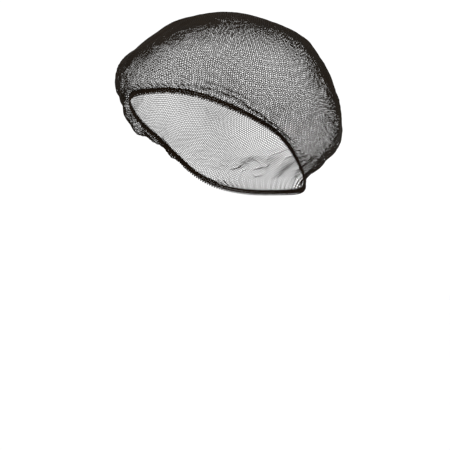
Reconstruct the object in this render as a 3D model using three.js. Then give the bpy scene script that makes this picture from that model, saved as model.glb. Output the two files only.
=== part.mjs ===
// A worn hairnet: a full bag of fine net gathered onto a narrow elastic band.
// Millimetres, +Z up. The front is towards -Y, and +X is the left side as worn.
// The origin is the centre of the opening, midway between the band's front and its back.
// The net is one thin wall here, with the outer form, dents and gathers of the worn net.
import * as THREE from "three";

// Opening, on the middle line of the elastic band
const openingWidth = 164; // side to side
const openingLength = 198; // front to back, measured level
const openingDrop = 96; // how far its back lies below its front
const openingEgg = 0.06; // share by which it is wider behind its middle, and narrower in front

// Elastic band: two round ribs with a thinner web between them
const bandWidth = 4.6;
const ribThickness = 1.9;
const webThickness = 1.0;
const ribShare = 0.36; // each rib's share of the band's width
const shoulderShare = 0.3; // a rib's rounding takes this share of the rib at each side

// Net
const netWall = 1;
const sideOverhang = 25; // how far the net at its fullest reaches past the opening, at each side
const frontOverhang = 13; // the same in front
const backOverhang = 55; // and behind
const netWidth = openingWidth + 2 * sideOverhang;
const netFront = openingLength / 2 + frontOverhang;
const netBack = openingLength / 2 + backOverhang;
const crownHeight = 136.5; // top of the crown above the origin
const crownBack = 15; // the top of the crown lies this far behind the origin
const seamGap = 0.3; // between the net's hem and the band's upper edge

// Gathers where the net is drawn onto the elastic
const gatherCount = 27;
const gatherDepth = 1.4;
const gatherReach = 0.07; // where they stand deepest, as a share of the way to the crown

// Dents and fullnesses
const foldDepth = 5; // of the deepest one

// Mesh steps
const stepsPerGather = 4;
const stepsRound = gatherCount * stepsPerGather;
const stepsUp = 20;
const bandFrameSpan = 0.5; // degrees either way, to find the band's direction

// Height of the band round the opening, as a share of half the opening's drop.
// angle: degrees from the front, round either side to the back.
const bandHeights = [
  { angle: 0, share: 1.0 },
  { angle: 15, share: 0.995 },
  { angle: 30, share: 0.95 },
  { angle: 45, share: 0.82 },
  { angle: 60, share: 0.63 },
  { angle: 75, share: 0.41 },
  { angle: 90, share: 0.16 },
  { angle: 105, share: -0.21 },
  { angle: 120, share: -0.61 },
  { angle: 135, share: -0.85 },
  { angle: 155, share: -0.98 },
  { angle: 180, share: -1.0 },
];

// Rings of the net from the hem to the crown.
// rise: share of the height from the hem to the top of the crown.
// side, front, back: how full the ring is, as shares of half netWidth, netFront and netBack.
const netRings = [
  { rise: 0.0, side: 0.82, front: 0.92, back: 0.645 },
  { rise: 0.03, side: 0.91, front: 0.945, back: 0.645 },
  { rise: 0.08, side: 0.975, front: 0.96, back: 0.69 },
  { rise: 0.14, side: 1.0, front: 0.98, back: 0.79 },
  { rise: 0.22, side: 1.0, front: 1.0, back: 0.92 },
  { rise: 0.32, side: 0.99, front: 0.985, back: 0.995 },
  { rise: 0.44, side: 0.965, front: 0.91, back: 0.96 },
  { rise: 0.55, side: 0.92, front: 0.785, back: 0.885 },
  { rise: 0.66, side: 0.85, front: 0.63, back: 0.845 },
  { rise: 0.77, side: 0.735, front: 0.48, back: 0.78 },
  { rise: 0.86, side: 0.59, front: 0.345, back: 0.66 },
  { rise: 0.93, side: 0.415, front: 0.2, back: 0.5 },
  { rise: 0.975, side: 0.23, front: 0.06, back: 0.31 },
];

// Dents and fullnesses of the worn net.
// angle: degrees from the front, positive towards +X. spread: degrees either way.
// rise and tall: centre and half height, as shares of the way to the crown.
// depth: inwards, as a share of foldDepth.
const netDents = [
  { angle: 80, spread: 24, rise: 0.03, tall: 0.05, depth: -1 },
  { angle: -80, spread: 24, rise: 0.03, tall: 0.05, depth: -1 },
  { angle: 55, spread: 3, rise: 0.04, tall: 0.06, depth: 0.3 },
  { angle: -52, spread: 13, rise: 0.12, tall: 0.08, depth: 0.8 },
  { angle: 103, spread: 7, rise: 0.14, tall: 0.1, depth: 0.5 },
  { angle: -98, spread: 8, rise: 0.15, tall: 0.11, depth: 0.6 },
  { angle: 145, spread: 16, rise: 0.1, tall: 0.06, depth: 0.8 },
  { angle: -155, spread: 11, rise: 0.13, tall: 0.09, depth: 0.8 },
  { angle: -128, spread: 10, rise: 0.34, tall: 0.13, depth: 0.6 },
  { angle: 178, spread: 12, rise: 0.4, tall: 0.12, depth: 0.5 },
  { angle: 20, spread: 16, rise: 0.5, tall: 0.1, depth: -0.4 },
  { angle: 122, spread: 34, rise: 0.6, tall: 0.07, depth: 0.7 },
];

const degrees = Math.PI / 180;
const upright = new THREE.Vector3(0, 0, 1);

// Smooth value of a column between the rows of a table, level at the first and last row.
function valueAt(table, key, column, at) {
  const last = table.length - 1;
  let row = 0;
  while (row < last - 1 && at > table[row + 1][key]) row += 1;
  const low = table[row];
  const high = table[row + 1];
  const span = high[key] - low[key];
  const slopeAt = (index) => {
    if (index === 0 || index === last) return 0;
    const before = table[index - 1];
    const after = table[index + 1];
    return (after[column] - before[column]) / (after[key] - before[key]);
  };
  const share = (at - low[key]) / span;
  const squared = share * share;
  const cubed = squared * share;
  return (
    low[column] * (2 * cubed - 3 * squared + 1) +
    high[column] * (3 * squared - 2 * cubed) +
    span * slopeAt(row) * (cubed - 2 * squared + share) +
    span * slopeAt(row + 1) * (cubed - squared)
  );
}

// Degrees from the front, 0 to 180, whichever side the angle is on.
function fromFront(angle) {
  const turned = Math.abs(angle) % 360;
  return turned > 180 ? 360 - turned : turned;
}

// Level egg-shaped ring through three reaches from the origin.
function eggPoint(angle, halfWidth, front, back, height) {
  const sine = Math.sin(angle * degrees);
  const cosine = Math.cos(angle * degrees);
  const across = halfWidth * sine * (1 - openingEgg * cosine);
  const along = (back - front) / 2 - ((back + front) / 2) * cosine;
  return new THREE.Vector3(across, along, height);
}

// Middle line of the elastic band.
function bandPoint(angle) {
  const height = (openingDrop / 2) * valueAt(bandHeights, "angle", "share", fromFront(angle));
  return eggPoint(angle, openingWidth / 2, openingLength / 2, openingLength / 2, height);
}

// Directions at a point of the band: outwards, and up across the band's width.
function bandFrame(angle) {
  const ahead = bandPoint(angle + bandFrameSpan).sub(bandPoint(angle - bandFrameSpan));
  const outward = ahead.clone().cross(upright).normalize();
  const across = outward.clone().cross(ahead).normalize();
  return { outward, across };
}

// Outline of the band's section: outwards and across, in order round the section.
function bandSection() {
  const rib = ribThickness / 2;
  const web = webThickness / 2;
  const edge = bandWidth / 2;
  const ribWidth = bandWidth * ribShare;
  const shoulder = ribWidth * shoulderShare;
  const outside = [
    [web, edge],
    [rib, edge - shoulder],
    [rib, edge - ribWidth + shoulder],
    [web, 0],
    [rib, -edge + ribWidth - shoulder],
    [rib, -edge + shoulder],
    [web, -edge],
  ];
  const inside = [
    [-web, -edge],
    [-rib, -edge + shoulder],
    [-rib, edge - shoulder],
    [-web, edge],
  ];
  return [...outside, ...inside];
}

// Surface through rings of points, each joined to the next.
// looped: the last ring joins the first. caps: a point that closes the first ring, and one for the last.
function ringsGeometry(rings, { looped = false, caps = [] } = {}) {
  const count = rings[0].length;
  const faces = [];
  const spans = looped ? rings.length : rings.length - 1;
  for (let step = 0; step < count; step += 1) {
    const next = (step + 1) % count;
    for (let ring = 0; ring < spans; ring += 1) {
      const low = ring * count;
      const high = ((ring + 1) % rings.length) * count;
      faces.push(low + step, low + next, high + next, low + step, high + next, high + step);
    }
    if (caps.length > 0) {
      const top = (rings.length - 1) * count;
      const firstCap = rings.length * count;
      faces.push(next, step, firstCap, top + step, top + next, firstCap + 1);
    }
  }
  const geometry = new THREE.BufferGeometry().setFromPoints([...rings.flat(), ...caps]);
  geometry.setIndex(faces);
  return geometry;
}

function bandGeometry() {
  const section = bandSection();
  const rings = [];
  for (let step = 0; step < stepsRound; step += 1) {
    const angle = (step / stepsRound) * 360;
    const middle = bandPoint(angle);
    const { outward, across } = bandFrame(angle);
    const place = ([out, up]) => middle.clone().addScaledVector(outward, out).addScaledVector(across, up);
    rings.push(section.map(place));
  }
  return ringsGeometry(rings, { looped: true });
}

// Lower edge of the net, a seam gap above the band's upper edge.
function hemPoint(angle) {
  const { across } = bandFrame(angle);
  return bandPoint(angle).addScaledVector(across, bandWidth / 2 + seamGap);
}

function crownPoint() {
  return new THREE.Vector3(0, crownBack, crownHeight);
}

// One meridian of the net's middle surface, from the hem to the top of the crown.
function netMeridian(angle) {
  const hem = hemPoint(angle);
  const knots = netRings.map(({ rise, side, front, back }) =>
    eggPoint(
      angle,
      (netWidth / 2) * side,
      netFront * front,
      netBack * back,
      THREE.MathUtils.lerp(hem.z, crownHeight, rise),
    ),
  );
  return new THREE.CatmullRomCurve3([hem, ...knots, crownPoint()]);
}

// How far the net's surface stands in from its plain form: dents, less the gathers' waves.
function dentAt(angle, rise) {
  let depth = 0;
  for (const dent of netDents) {
    const turn = ((((angle - dent.angle) % 360) + 540) % 360) - 180;
    const reach = (turn / dent.spread) ** 2 + ((rise - dent.rise) / dent.tall) ** 2;
    depth += foldDepth * dent.depth * Math.exp(-reach);
  }
  const wave = Math.cos(gatherCount * angle * degrees);
  const swell = (rise / gatherReach) * Math.exp(1 - rise / gatherReach);
  return depth - gatherDepth * wave * swell;
}

// Rings of the net's middle surface, each point with the surface's outward direction.
// The hem keeps to the band, and the dents and gathers begin above it.
function netSurface() {
  const rings = Array.from({ length: stepsUp }, () => []);
  for (let step = 0; step < stepsRound; step += 1) {
    const angle = (step / stepsRound) * 360;
    netMeridian(angle)
      .getSpacedPoints(stepsUp)
      .slice(0, stepsUp)
      .forEach((point, row) => rings[row].push(point));
  }
  const plain = surfaceNormals(rings);
  rings.forEach((ring, row) =>
    ring.forEach((point, step) => {
      const depth = row === 0 ? 0 : dentAt((step / stepsRound) * 360, row / stepsUp);
      point.addScaledVector(plain[row][step], -depth);
    }),
  );
  const normals = surfaceNormals(rings);
  normals[0] = normals[0].map((_, step) => bandFrame((step / stepsRound) * 360).outward);
  return { rings, normals };
}

// Outward direction at each point of a domed surface of rings.
function surfaceNormals(rings) {
  const geometry = ringsGeometry(rings);
  geometry.computeVertexNormals();
  const normals = geometry.getAttribute("normal");
  return rings.map((ring, row) =>
    ring.map((_, step) => new THREE.Vector3().fromBufferAttribute(normals, row * ring.length + step)),
  );
}

// The net's wall: down its inside from the crown to the hem, and up its outside to the crown again.
function netGeometry() {
  const { rings, normals } = netSurface();
  const face = (offset) =>
    rings.map((ring, row) =>
      ring.map((point, step) => point.clone().addScaledVector(normals[row][step], offset)),
    );
  const inside = face(-netWall / 2).reverse();
  const outside = face(netWall / 2);
  const caps = [-netWall / 2, netWall / 2].map((offset) => crownPoint().addScaledVector(upright, offset));
  return ringsGeometry([...inside, ...outside], { caps });
}

function named(name, geometry, material) {
  geometry.computeVertexNormals();
  const mesh = new THREE.Mesh(geometry, material);
  mesh.name = name;
  return mesh;
}

const netMaterial = new THREE.MeshStandardMaterial({ color: 0x17171a, roughness: 0.7, metalness: 0 });
const elasticMaterial = new THREE.MeshStandardMaterial({ color: 0x0c0c0e, roughness: 0.8, metalness: 0 });

const hairnet = new THREE.Group();
hairnet.add(named("net_crown", netGeometry(), netMaterial));
hairnet.add(named("elastic_band", bandGeometry(), elasticMaterial));

export default hairnet;
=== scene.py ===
import math
import bmesh
import bpy
import numpy as np
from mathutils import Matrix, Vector, noise
from mathutils.bvhtree import BVHTree
from mathutils.geometry import barycentric_transform


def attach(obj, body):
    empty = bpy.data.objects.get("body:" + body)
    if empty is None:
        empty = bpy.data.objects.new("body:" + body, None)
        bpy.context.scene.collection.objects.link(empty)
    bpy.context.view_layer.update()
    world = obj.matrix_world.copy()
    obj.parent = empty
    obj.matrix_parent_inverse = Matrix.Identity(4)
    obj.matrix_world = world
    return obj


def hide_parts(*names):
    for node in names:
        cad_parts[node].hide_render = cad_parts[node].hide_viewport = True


# metres, +Z up, with the front of the net towards -Y and its left side towards +X
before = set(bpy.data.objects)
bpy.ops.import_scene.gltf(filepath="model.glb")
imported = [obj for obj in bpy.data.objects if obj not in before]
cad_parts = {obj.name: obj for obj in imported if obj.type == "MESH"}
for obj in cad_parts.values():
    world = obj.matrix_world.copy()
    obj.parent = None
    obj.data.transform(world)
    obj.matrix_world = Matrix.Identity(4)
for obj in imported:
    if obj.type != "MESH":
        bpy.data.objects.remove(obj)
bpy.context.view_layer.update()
mm = .001

# camera and light
camera = {
    "place": (1.0105, -1.1096, -.0838),  # in front, to the left and a little below the net
    "looks": (-.66913, .74314, 0),
    "lens": 116.5,
    "farthest": 200,
}
studio = {
    "sky": 1.06,
    "floorDrop": 1.8,  # the floor lies this far below the opening
    "floorSize": 60,
    "floorSquares": 4,
    "lamps": [  # place, power in watts, size
        ((-.9, -1.9, 1.5), 26, 1.1),
        ((1.9, -.9, 1.0), 14, 1.4),
        ((.3, 1.9, 1.3), 10, 1.4),
    ],
}


def buildStudio():
    scene = bpy.context.scene
    scene.view_settings.view_transform = "Standard"
    lens = bpy.data.cameras.new("camera")
    lens.lens = camera["lens"]
    lens.clip_end = camera["farthest"]
    eye = bpy.data.objects.new("camera", lens)
    eye.location = camera["place"]
    eye.rotation_mode = "QUATERNION"
    eye.rotation_quaternion = Vector(camera["looks"]).to_track_quat("-Z", "Y")
    scene.collection.objects.link(eye)
    scene.camera = eye

    world = bpy.data.worlds.new("studioSky")
    world.use_nodes = True
    sky = world.node_tree.nodes["Background"]
    sky.inputs["Color"].default_value = (1, 1, 1, 1)
    sky.inputs["Strength"].default_value = studio["sky"]
    scene.world = world

    for index, (place, power, size) in enumerate(studio["lamps"]):
        light = bpy.data.lights.new("softbox%d" % index, "AREA")
        light.energy = power
        light.size = size
        lamp = bpy.data.objects.new("softbox%d" % index, light)
        lamp.location = place
        lamp.rotation_mode = "QUATERNION"
        lamp.rotation_quaternion = (-Vector(place)).to_track_quat("-Z", "Y")
        scene.collection.objects.link(lamp)

    squares = studio["floorSquares"]
    bm = bmesh.new()
    bmesh.ops.create_grid(bm, x_segments=squares, y_segments=squares, size=studio["floorSize"] / 2)
    bmesh.ops.translate(bm, verts=bm.verts[:], vec=(0, 0, -studio["floorDrop"]))
    floor = finishMesh(bm, "floor")
    floor.data.materials.append(paleFloor())
    print("studio is set")


# small helpers
def finishMesh(bm, name):
    mesh = bpy.data.meshes.new(name)
    bm.to_mesh(mesh)
    bm.free()
    made = bpy.data.objects.new(name, mesh)
    bpy.context.scene.collection.objects.link(made)
    return made


def mergedCopy(nodeName):
    bm = bmesh.new()
    bm.from_mesh(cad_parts[nodeName].data)
    bmesh.ops.remove_doubles(bm, verts=bm.verts[:], dist=.001 * mm)
    return bm


def unitRows(rows):
    return rows / np.linalg.norm(rows, axis=-1, keepdims=True)


def lengthsAlong(points):
    return np.concatenate([[0], np.cumsum(np.linalg.norm(np.diff(points, axis=0), axis=1))])


def feed(tree, socket, value):
    # a value is another node's output, which is linked, or a constant
    if hasattr(value, "links"):
        tree.links.new(value, socket)
    else:
        socket.default_value = value


def addNode(tree, kind, settings=None, **sockets):
    node = tree.nodes.new(kind)
    for key, value in (settings or {}).items():
        setattr(node, key, value)
    for key, value in sockets.items():
        feed(tree, node.inputs[key.replace("_", " ")], value)
    return node


def addScaled(tree, value, share):
    node = addNode(tree, "ShaderNodeMath", {"operation": "MULTIPLY"})
    feed(tree, node.inputs[0], value)
    feed(tree, node.inputs[1], share)
    return node.outputs[0]


mixSockets = {"first": 6, "second": 7, "result": 2}  # a Mix node's colours, whose names repeat


def mixColours(tree, factor, first, second):
    node = addNode(tree, "ShaderNodeMix", {"data_type": "RGBA"}, Factor=factor)
    feed(tree, node.inputs[mixSockets["first"]], first)
    feed(tree, node.inputs[mixSockets["second"]], second)
    return node.outputs[mixSockets["result"]]


# finishes
fibre = {
    "cloudScale": 55,  # slow change of tone from place to place
    "cloudDetail": 3,
    "cloudShare": .75,  # what the cloud and the grain each give to the tone
    "grainShare": .25,
    "grainScale": 2600,  # the filaments that lie side by side in a thread
    "grainDetail": 2,
    "grainDepth": .08 * mm,
    "lintAndGlintScale": 420,
    "lintAndGlintEdge": (.1, .04),  # a fleck fades in between these distances from its middle
    "lintAndGlintShare": .35,
    # brown of the flecks: partly lint, partly painted glints
    "lintAndGlintColour": (.09, .062, .038, 1),
}
netFinish = {
    "deep": (.004, .0026, .0014, 1),
    # lighter end of the random tone, partly the thread's own tone and partly painted glints
    "worn": (.018, .012, .0068, 1),
    "roughness": (.34, .55),
    "specular": .04,
    "sheen": 0,
    "bump": .35,
}
elasticFinish = {
    "deep": (.0016, .0008, .0004, 1),
    # lighter end of the random tone, partly the elastic's own tone and partly painted glints
    "worn": (.020, .0105, .0046, 1),
    "roughness": (.62, .85),
    "specular": .04,
    "sheen": .012,
    "bump": .6,
}
sheenRoughness = .4
floorFinish = {
    "cloudScale": 1.5,
    "cloudDetail": 2,
    "tone": (.95, .99),
    "roughness": .9,
    "specular": .05,
}


def fibreGroup():
    # slow tone, fine grain and lint flecks, shared by the net's thread and the elastic; the flecks are
    # partly lint and partly painted glints
    group = bpy.data.node_groups.new("fibreEffect", "ShaderNodeTree")
    face = group.interface
    face.new_socket("Bump", in_out="INPUT", socket_type="NodeSocketFloat")
    face.new_socket("Tone", in_out="OUTPUT", socket_type="NodeSocketFloat")
    face.new_socket("LintAndGlint", in_out="OUTPUT", socket_type="NodeSocketFloat")
    face.new_socket("Normal", in_out="OUTPUT", socket_type="NodeSocketVector")
    groupIn = group.nodes.new("NodeGroupInput")
    groupOut = group.nodes.new("NodeGroupOutput")
    place = addNode(group, "ShaderNodeTexCoord").outputs["Object"]
    cloud = addNode(group, "ShaderNodeTexNoise", Vector=place,
                    Scale=fibre["cloudScale"], Detail=fibre["cloudDetail"])
    grain = addNode(group, "ShaderNodeTexNoise", Vector=place,
                    Scale=fibre["grainScale"], Detail=fibre["grainDetail"])
    lintAndGlint = addNode(group, "ShaderNodeTexVoronoi", Vector=place, Scale=fibre["lintAndGlintScale"])
    tone = addNode(group, "ShaderNodeMath", {"operation": "MULTIPLY_ADD"})
    feed(group, tone.inputs[0], cloud.outputs["Fac"])
    feed(group, tone.inputs[1], fibre["cloudShare"])
    feed(group, tone.inputs[2], addScaled(group, grain.outputs["Fac"], fibre["grainShare"]))
    flecks = addNode(group, "ShaderNodeMapRange", Value=lintAndGlint.outputs["Distance"],
                     From_Min=fibre["lintAndGlintEdge"][0], From_Max=fibre["lintAndGlintEdge"][1])
    relief = addNode(group, "ShaderNodeBump", Height=grain.outputs["Fac"],
                     Distance=fibre["grainDepth"], Strength=groupIn.outputs["Bump"])
    feed(group, groupOut.inputs["Tone"], tone.outputs[0])
    feed(group, groupOut.inputs["LintAndGlint"], flecks.outputs["Result"])
    feed(group, groupOut.inputs["Normal"], relief.outputs["Normal"])
    return group


def threadMaterial(name, finish, effect):
    made = bpy.data.materials.new(name)
    made.use_nodes = True
    tree = made.node_tree
    shader = tree.nodes["Principled BSDF"]
    looks = addNode(tree, "ShaderNodeGroup", {"node_tree": effect}, Bump=finish["bump"])
    tone = looks.outputs["Tone"]
    # colour runs at random from the deep tone to a lighter one that also paints in glints
    colour = mixColours(tree, tone, finish["deep"], finish["worn"])
    lintAndGlint = addScaled(tree, looks.outputs["LintAndGlint"], fibre["lintAndGlintShare"])
    low, high = finish["roughness"]
    rough = addNode(tree, "ShaderNodeMapRange", Value=tone, To_Min=low, To_Max=high)
    # the flecks go over the colour, partly lint and partly painted glints
    feed(tree, shader.inputs["Base Color"], mixColours(tree, lintAndGlint, colour, fibre["lintAndGlintColour"]))
    feed(tree, shader.inputs["Roughness"], rough.outputs["Result"])
    feed(tree, shader.inputs["Normal"], looks.outputs["Normal"])
    feed(tree, shader.inputs["Specular IOR Level"], finish["specular"])
    feed(tree, shader.inputs["Sheen Weight"], finish["sheen"])
    feed(tree, shader.inputs["Sheen Roughness"], sheenRoughness)
    return made


def paleFloor():
    made = bpy.data.materials.new("paleFloor")
    made.use_nodes = True
    tree = made.node_tree
    shader = tree.nodes["Principled BSDF"]
    place = addNode(tree, "ShaderNodeTexCoord").outputs["Object"]
    cloud = addNode(tree, "ShaderNodeTexNoise", Vector=place,
                    Scale=floorFinish["cloudScale"], Detail=floorFinish["cloudDetail"])
    low, high = floorFinish["tone"]
    tint = addNode(tree, "ShaderNodeMapRange", Value=cloud.outputs["Fac"], To_Min=low, To_Max=high)
    feed(tree, shader.inputs["Base Color"], tint.outputs["Result"])
    feed(tree, shader.inputs["Roughness"], floorFinish["roughness"])
    feed(tree, shader.inputs["Specular IOR Level"], floorFinish["specular"])
    return made


# the elastic's run round the opening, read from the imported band
band = {
    "height": 4.6 * mm,
    "ribHeight": 1.9 * mm,
    "readSpread": 2.2,  # degrees of band that each reading takes in
    "readings": 360,
    "steps": 1200,
    "lookAhead": 3,  # steps either way, to find the band's direction
}
ribRise = (band["height"] - band["ribHeight"]) / 2  # from the band's middle to a rib's


def bandRun():
    bm = mergedCopy("elastic_band")
    points = np.array([v.co for v in bm.verts])
    bm.free()
    around = np.degrees(np.arctan2(points[:, 0], -points[:, 1]))
    turns = np.arange(band["readings"]) * 360 / band["readings"]
    apart = (around[None, :] - turns[:, None] + 180) % 360 - 180
    weights = np.exp(-(apart / band["readSpread"]) ** 2 / 2)
    line = weights @ points / weights.sum(1, keepdims=True)
    # even steps along the line
    closed = np.vstack([line, line[:1]])
    along = lengthsAlong(closed)
    length = along[-1]
    at = np.arange(band["steps"]) * length / band["steps"]
    run = np.stack([np.interp(at, along, closed[:, k]) for k in range(3)], axis=1)
    reach = band["lookAhead"]
    forward = unitRows(np.roll(run, -reach, 0) - np.roll(run, reach, 0))
    rise = np.array([0, 0, 1.0]) - forward * forward[:, 2:3]
    rise = unitRows(rise)
    out = unitRows(np.cross(forward, rise))
    if (out[0] * run[0]).sum() < 0:
        out = -out
    print("elastic runs %.0f mm round the opening" % (length / mm))
    return {"run": run, "rise": rise, "out": out, "length": length}


def onBand(rail, along, rise, out):
    # along, rise and out are arrays of distances, measured on the band
    place = (along / rail["length"] * band["steps"]) % band["steps"]
    low = np.floor(place).astype(int) % band["steps"]
    high = (low + 1) % band["steps"]
    share = (place - np.floor(place))[:, None]
    mixed = {k: rail[k][low] * (1 - share) + rail[k][high] * share for k in ("run", "rise", "out")}
    return mixed["run"] + mixed["rise"] * rise[:, None] + mixed["out"] * out[:, None]


def closedStrand(points, thickness, sides):
    # one closed round thread along the points, as a mesh, with four sides or six
    curve = bpy.data.curves.new("strand", "CURVE")
    curve.dimensions = "3D"
    curve.bevel_depth = thickness / 2
    curve.bevel_resolution = sides // 2 - 2
    spline = curve.splines.new("POLY")
    spline.points.add(len(points) - 1)
    spline.points.foreach_set("co", np.hstack([points, np.ones((len(points), 1))]).ravel())
    spline.use_cyclic_u = True
    holder = bpy.data.objects.new("strand", curve)
    mesh = bpy.data.meshes.new_from_object(holder)
    bpy.data.objects.remove(holder)
    bpy.data.curves.remove(curve)
    return mesh


def joinMeshes(meshes, name):
    bm = bmesh.new()
    for mesh in meshes:
        bm.from_mesh(mesh)
        bpy.data.meshes.remove(mesh)
    bmesh.ops.recalc_face_normals(bm, faces=bm.faces[:])
    for f in bm.faces:
        f.smooth = True
    return finishMesh(bm, name)


def wholeTurns(rail, piece):
    # the piece's steps along the band, and the angle that its thread has turned by at each
    turns = round(rail["length"] / piece["pitch"])
    count = turns * piece["stepsPerTurn"]
    steps = np.arange(count)
    return steps / count * rail["length"], steps / piece["stepsPerTurn"] * 2 * math.pi


ribs = {
    "strands": 3,
    "pitch": 6.0 * mm,  # one full turn of the plait, so a bump every 2 mm
    "thickness": .72 * mm,
    "halfWidth": .62 * mm,
    "halfDepth": .36 * mm,
    "stepsPerTurn": 10,
    "sides": 6,
}


def buildRibs(rail):
    strands = []
    along, turn = wholeTurns(rail, ribs)
    for side in (1, -1):
        for strand in range(ribs["strands"]):
            phase = turn + strand * 2 * math.pi / ribs["strands"]
            rise = side * ribRise + ribs["halfWidth"] * np.sin(phase)
            out = side * ribs["halfDepth"] * np.sin(2 * phase)
            points = onBand(rail, along, rise, out)
            strands.append(closedStrand(points, ribs["thickness"], ribs["sides"]))
    made = joinMeshes(strands, "elasticRibs")
    print("elastic ribs are plaited")
    return made


web = {
    "pitch": 1.5 * mm,
    "thickness": .64 * mm,
    "passing": .32 * mm,  # how far in and out the two threads pass each other
    "reach": .7 * mm,
    "stepsPerTurn": 4,
    "sides": 4,
}
picots = {
    "pitch": 2.8 * mm,  # the small loops that make the lower edge's teeth
    "thickness": 1.0 * mm,
    "reach": 1.1 * mm,
    "below": .2 * mm,
    "depth": .35 * mm,
    "stepsPerTurn": 8,
    "sides": 4,
}


def buildWeb(rail):
    # two threads that zigzag across the gap between the ribs, and the loops of the lower edge
    strands = []
    along, turn = wholeTurns(rail, web)
    for side in (1, -1):
        rise = side * web["reach"] * np.cos(turn)
        out = side * web["passing"] * np.sin(turn)
        strands.append(closedStrand(onBand(rail, along, rise, out), web["thickness"], web["sides"]))
    along, turn = wholeTurns(rail, picots)
    rise = -band["height"] / 2 - picots["below"] + picots["reach"] * np.cos(turn)
    out = picots["depth"] * np.sin(turn)
    strands.append(closedStrand(onBand(rail, along, rise, out), picots["thickness"], picots["sides"]))
    made = joinMeshes(strands, "elasticWeb")
    print("web between the ribs is laid")
    return made


whipping = {
    "pitch": 2.2 * mm,
    "thickness": .3 * mm,
    "below": .7 * mm,  # how far under the upper rib's middle a stitch reaches
    "above": 1.9 * mm,
    "depth": .95 * mm,
    "stepsPerTurn": 10,
    "sides": 4,
}


def buildWhipping(rail):
    # the joining stitch goes round the upper rib and through the net's last cells
    along, turn = wholeTurns(rail, whipping)
    centre = ribRise + (whipping["above"] - whipping["below"]) / 2
    reach = (whipping["above"] + whipping["below"]) / 2
    rise = centre - reach * np.cos(turn)
    out = whipping["depth"] * np.sin(turn)
    thread = closedStrand(onBand(rail, along, rise, out), whipping["thickness"], whipping["sides"])
    made = joinMeshes([thread], "hemStitching")
    print("hem stitching is sewn")
    return made


# the net's surface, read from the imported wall
crown = {
    "wall": 1.0 * mm,
    "centre": (0, .015, .025),  # every point of the crown can be seen from here
    "tilt": 26,  # degrees that the opening leans back
    "columns": 360,
    "rows": 140,
    "climbFrom": 89.9,  # degrees above the opening's plane where each column of rays starts
    "climbStep": .75,
    "halvings": 8,  # of the last step, to find the hem
    "evenings": 3,  # passes that even out neighbouring columns
    "turnStep": .003,  # either way, to find the outward direction
    "shareStep": .01,
    "plainPasses": 24,  # smoothings of the copy that the rays meet, up to this height
    "plainBelow": .075,
}


def outerWall():
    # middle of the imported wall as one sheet, its inner face and its hem's edge taken away
    bm = mergedCopy("net_crown")
    top = max(bm.verts, key=lambda v: v.co.z)
    steps = {top: 0}
    ring = [top]
    while ring:
        nextRing = []
        for v in ring:
            for edge in v.link_edges:
                other = edge.other_vert(v)
                if other not in steps:
                    steps[other] = steps[v] + 1
                    nextRing.append(other)
        ring = nextRing
    outer = max(steps.values()) // 2
    bmesh.ops.delete(bm, geom=[v for v in bm.verts if steps[v] > outer], context="VERTS")
    bm.normal_update()
    for v, normal in [(v, v.normal.copy()) for v in bm.verts]:
        v.co -= normal * crown["wall"] / 2
    return bm


def plainerCopy(sheet):
    # the same sheet with its low folds smoothed out, so that no part of it hides another from the rays
    plain = sheet.copy()
    loose = [v for v in plain.verts if not v.is_boundary and v.co.z < crown["plainBelow"]]
    for _ in range(crown["plainPasses"]):
        bmesh.ops.smooth_vert(plain, verts=loose, factor=.5,
                              use_axis_x=True, use_axis_y=True, use_axis_z=True)
    return plain


def crownLines(sheet, hemLine):
    # a line for each column, from the crown's top down to the hem
    plain = plainerCopy(sheet)
    tree = BVHTree.FromBMesh(plain)
    plain.faces.ensure_lookup_table()
    sheet.faces.ensure_lookup_table()
    tilt = math.radians(crown["tilt"])
    centre = Vector(crown["centre"])
    axis = Vector((0, math.sin(tilt), math.cos(tilt)))
    side = Vector((1, 0, 0))
    ahead = side.cross(axis)

    def hitAt(climb, spoke):
        # a ray meets the plainer copy, and the same place on the real sheet is taken
        angle = math.radians(climb)
        ray = spoke * math.cos(angle) + axis * math.sin(angle)
        place, normal, face, far = tree.ray_cast(centre, ray)
        if place is None:
            return None
        corners = [v.co for v in plain.faces[face].verts] + [v.co for v in sheet.faces[face].verts]
        return barycentric_transform(place, *corners)

    lines = []
    for column in range(crown["columns"]):
        turn = 2 * math.pi * column / crown["columns"]
        spoke = side * math.sin(turn) + ahead * math.cos(turn)
        line = []
        climb = crown["climbFrom"]
        hit = hitAt(climb, spoke)
        while hit is not None:
            line.append(hit)
            climb -= crown["climbStep"]
            hit = hitAt(climb, spoke)
        low, high = climb, climb + crown["climbStep"]
        for _ in range(crown["halvings"]):
            middle = (low + high) / 2
            hit = hitAt(middle, spoke)
            if hit is None:
                low = middle
            else:
                high = middle
                line.append(hit)
        line = np.array(line)
        nearest = np.argmin(np.linalg.norm(hemLine - line[-1], axis=1))
        lines.append(np.vstack([line, hemLine[nearest]]))
    plain.free()
    return lines


def crownGrid(rail):
    # the same lines in rows of even length, down each column
    sheet = outerWall()
    lines = crownLines(sheet, rail["run"] + rail["rise"] * ribRise)
    sheet.free()
    shares = np.arange(crown["rows"] + 1) / crown["rows"]
    grid = np.zeros((crown["columns"], crown["rows"] + 1, 3))
    for column, line in enumerate(lines):
        along = lengthsAlong(line)
        for k in range(3):
            grid[column, :, k] = np.interp(shares * along[-1], along, line[:, k])
    for _ in range(crown["evenings"]):
        grid = (np.roll(grid, 1, 0) + 2 * grid + np.roll(grid, -1, 0)) / 4
    print("crown is read, %d columns" % crown["columns"])
    return grid


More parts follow.
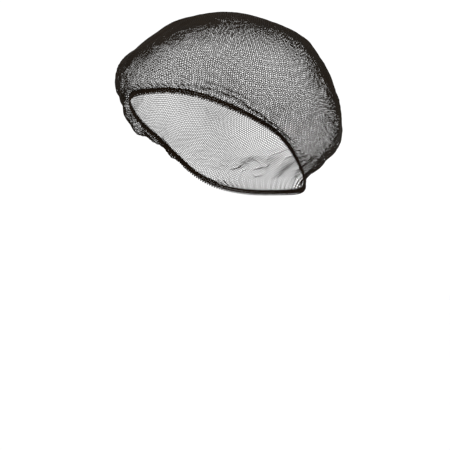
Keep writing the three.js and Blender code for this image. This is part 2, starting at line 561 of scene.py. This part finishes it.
def onGrid(grid, turn, share):
    # turn from 0 to 1 round the crown, share from 0 at its top to 1 at the hem
    column = (turn % 1) * crown["columns"]
    row = np.clip(share, 0, 1) * crown["rows"]
    left = np.floor(column).astype(int) % crown["columns"]
    right = (left + 1) % crown["columns"]
    above = np.minimum(np.floor(row).astype(int), crown["rows"] - 1)
    across = (column - np.floor(column))[:, None]
    down = (row - above)[:, None]
    upper = grid[left, above] * (1 - across) + grid[right, above] * across
    lower = grid[left, above + 1] * (1 - across) + grid[right, above + 1] * across
    return upper * (1 - down) + lower * down


def noiseOf(points, size, shift):
    return np.array([noise.noise(Vector(p)) for p in points / size + shift])


# the net, in turns round from the front, where 1 is all the way, and in shares of the way to the hem
net = {
    "cuts": 36,  # sets the honeycomb's pitch, about 2.3 mm
    "hemAngle": 108,  # degrees from the crown to the hem on the lattice
    "thread": .62 * mm,
    "heldOver": .02,  # the stitching holds the net still at the hem, and lets go over this share
    "panels": ("netFrontLeft", "netLeft", "netBack", "netRight", "netFrontRight"),
    "flatPanel": (.12, .18),  # a fifth of the net at ease, open cells counted in, unstretched
}
gathers = {
    "count": 104,
    "depth": 1.2 * mm,
    "bunch": .8,  # how far the cells close up in each gather
    "reach": .10,  # share of the way up from the hem that they fade over
    "fading": 1.5,
    "stray": 2.2,  # how far they stray from even spacing, in radians of a gather
    "straySize": .16,
    "straySeed": 7.3,
}
# where the loose net hangs out, or lies in, a little more than the solid. turn and spread: degrees round
# from the front towards the left. share and tall: of the way down to the hem. depth: outwards.
settles = [
    {"turn": 291, "spread": 14, "share": .925, "tall": .05, "depth": 4 * mm},
    {"turn": 46, "spread": 26, "share": .925, "tall": .075, "depth": -6 * mm},
    {"turn": 344, "spread": 15, "share": .49, "tall": .08, "depth": 2 * mm},
    {"turn": 339, "spread": 15, "share": .72, "tall": .07, "depth": -2.6 * mm},
    {"turn": 61, "spread": 24, "share": .24, "tall": .07, "depth": -1.8 * mm},
    {"turn": 103, "spread": 14, "share": .32, "tall": .07, "depth": 2 * mm},
    {"turn": 133, "spread": 12, "share": .635, "tall": .07, "depth": -3 * mm},
    {"turn": 137, "spread": 8, "share": .9, "tall": .03, "depth": 2 * mm},
    {"turn": 148, "spread": 10, "share": .955, "tall": .035, "depth": -5 * mm},
]
crumple = {
    "size": 15 * mm,
    "seed": 3.1,
    "crease": .16,
    "lift": 1.1 * mm,
    "settled": .4,  # share of the lift by which the net lies in between creases
    "pull": 4.5 * mm,
    "steepest": 1.4,
    "slopeStep": .05,  # share of the size over which the slope is measured
    "looseSize": 34 * mm,
    "looseSeed": 11.7,
    "looseMean": .55,
    "looseSwing": 1.6,
    "looseLeast": .1,
    "tight": .2,  # how much of it is left where the net lies tight, over the top and the front
    "tightTo": .3,  # from here down the net gets looser, over the next share
    "looserOver": .4,
    "frontShare": .4,  # of the looseness at the back, what is left at the front
    "hemFade": .08,
}
wobble = {  # each cell lies a little out of true
    "depth": .15 * mm,
    "size": 3.6 * mm,
    "seed": 21.3,
    "seedStep": 9,
}


def honeycomb():
    # an even ball of cells, hexagons but for the twelve pentagons that close it, cut off at the hem
    bm = bmesh.new()
    bmesh.ops.create_icosphere(bm, subdivisions=1, radius=1)
    bmesh.ops.subdivide_edges(bm, edges=bm.edges[:], cuts=net["cuts"], use_grid_fill=True)
    for v in bm.verts:
        v.co.normalize()
    # cutting each corner off a third of the way along its edges leaves even hexagons
    bmesh.ops.bevel(bm, geom=bm.verts[:], offset=100 / 3, offset_type="PERCENT", affect="VERTICES",
                    segments=1, profile=.5, material=-1)
    low = math.cos(math.radians(net["hemAngle"]))
    spare = [f for f in bm.faces if f.calc_center_median().normalized().z < low]
    bmesh.ops.delete(bm, geom=spare, context="FACES")
    # the hexagons are shared out round the crown, one panel after the other
    panel = bm.faces.layers.int.new("panel")
    panelAngle = 360 / len(net["panels"])
    for f in bm.faces:
        middle = f.calc_center_median()
        f[panel] = int(math.degrees(math.atan2(middle.x, middle.y)) % 360 // panelAngle)
    return bm


def gatherTurns(turn, share):
    # the gathers' strength and wave at each point, and the turns with the cells closed up in them
    fade = np.clip(1 - (1 - share) / gathers["reach"], 0, 1) ** gathers["fading"]
    ringed = np.stack([np.sin(2 * math.pi * turn), np.cos(2 * math.pi * turn), share], axis=1)
    stray = gathers["stray"] * noiseOf(ringed, gathers["straySize"], gathers["straySeed"])
    phase = 2 * math.pi * gathers["count"] * turn + stray
    closed = turn + gathers["bunch"] * fade * np.sin(phase) / (2 * math.pi * gathers["count"])
    return fade, phase, closed


def outwards(grid, turn, share):
    aside, down = crown["turnStep"], crown["shareStep"]
    acrossStep = onGrid(grid, turn + aside, share) - onGrid(grid, turn - aside, share)
    downStep = onGrid(grid, turn, share + down) - onGrid(grid, turn, share - down)
    out = unitRows(np.cross(downStep, acrossStep))
    if (out * (onGrid(grid, turn, share) - np.array(crown["centre"]))).sum() < 0:
        out = -out
    return out


def settledBy(turn, share):
    depth = 0
    for settle in settles:
        apart = ((turn * 360 - settle["turn"] + 180) % 360 - 180) / settle["spread"]
        hang = np.exp(-apart ** 2 - ((share - settle["share"]) / settle["tall"]) ** 2)
        depth = depth + settle["depth"] * hang
    return depth


def looseness(place, turn, share):
    # how freely the net crumples: least over the top, at the front and at the hem
    swing = crumple["looseSwing"] * noiseOf(place, crumple["looseSize"], crumple["looseSeed"])
    loose = np.clip(crumple["looseMean"] + swing, crumple["looseLeast"], 1)
    back = .5 - .5 * np.cos(2 * math.pi * turn)
    hanging = np.clip((share - crumple["tightTo"]) / crumple["looserOver"], 0, 1)
    hanging = hanging * (crumple["frontShare"] + (1 - crumple["frontShare"]) * back)
    loose = loose * (crumple["tight"] + (1 - crumple["tight"]) * hanging)
    return loose * np.clip((1 - share) / crumple["hemFade"], 0, 1)


def creased(place, out, free):
    # creases where the loose net folds on itself, each lifted and with the net drawn in beside it
    size, seed, step = crumple["size"], crumple["seed"], crumple["slopeStep"]
    value = noiseOf(place, size, seed)
    slope = np.stack([(noiseOf(place + along * step * size, size, seed) - value) / step
                      for along in np.eye(3)], axis=1)
    slope = slope - out * (slope * out).sum(1, keepdims=True)
    slope = slope / np.maximum(1, np.linalg.norm(slope, axis=1, keepdims=True) / crumple["steepest"])
    ridge = np.exp(-(value / crumple["crease"]) ** 2)
    place = place + out * (crumple["lift"] * (ridge - crumple["settled"]) * free)[:, None]
    return place - slope * (crumple["pull"] * value * ridge * free)[:, None]


def wrapNet(bm, grid):
    # moves the honeycomb from its ball onto the crown, with gathers, hollows and creases
    rim = np.array([v.is_boundary for v in bm.verts])
    ball = unitRows(np.array([v.co for v in bm.verts]))
    share = np.degrees(np.arccos(ball[:, 2])) / net["hemAngle"]
    share[rim] = 1
    turn = np.arctan2(ball[:, 0], ball[:, 1]) / (2 * math.pi)
    fade, phase, turn = gatherTurns(turn, share)
    held = np.clip((1 - share) / net["heldOver"], 0, 1)
    out = outwards(grid, turn, share)
    depth = gathers["depth"] * fade * np.cos(phase) + settledBy(turn, share)
    place = onGrid(grid, turn, share) + out * (depth * held)[:, None]
    place = creased(place, out, looseness(place, turn, share))
    for k in range(3):
        shift = wobble["seed"] + wobble["seedStep"] * k
        place[:, k] += wobble["depth"] * held * noiseOf(place, wobble["size"], shift)
    for v, moved in zip(bm.verts, place):
        v.co = moved


def buildNet(grid):
    whole = honeycomb()
    wrapNet(whole, grid)
    bmesh.ops.recalc_face_normals(whole, faces=whole.faces[:])
    panels = []
    for index, name in enumerate(net["panels"]):
        bm = whole.copy()
        panel = bm.faces.layers.int["panel"]
        bmesh.ops.delete(bm, geom=[f for f in bm.faces if f[panel] != index], context="FACES")
        cloth = sum(f.calc_area() for f in bm.faces)
        # each cell's edges become threads, and its middle is left open
        bmesh.ops.wireframe(bm, faces=bm.faces[:], thickness=net["thread"], offset=0,
                            use_replace=True, use_boundary=True, use_even_offset=True)
        bmesh.ops.recalc_face_normals(bm, faces=bm.faces[:])
        panels.append(finishMesh(bm, name))
        triangles = 2 * len(panels[-1].data.polygons)
        print("%s of %.4f square metres has %d triangles" % (name, cloth, triangles))
    whole.free()
    return panels


# build, dress, attach to the root and hide the imported parts
buildStudio()
rail = bandRun()
elasticRibs = buildRibs(rail)
elasticWeb = buildWeb(rail)
hemStitching = buildWhipping(rail)
netPanels = buildNet(crownGrid(rail))

effect = fibreGroup()
netLook = threadMaterial("netThread", netFinish, effect)
elasticLook = threadMaterial("knittedElastic", elasticFinish, effect)
for piece in netPanels + [hemStitching]:
    piece.data.materials.append(netLook)
    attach(piece, "root")
for piece in (elasticRibs, elasticWeb):
    piece.data.materials.append(elasticLook)
    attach(piece, "root")
    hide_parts("elastic_band")
for piece in netPanels:
    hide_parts("net_crown")
print("every piece has its finish")
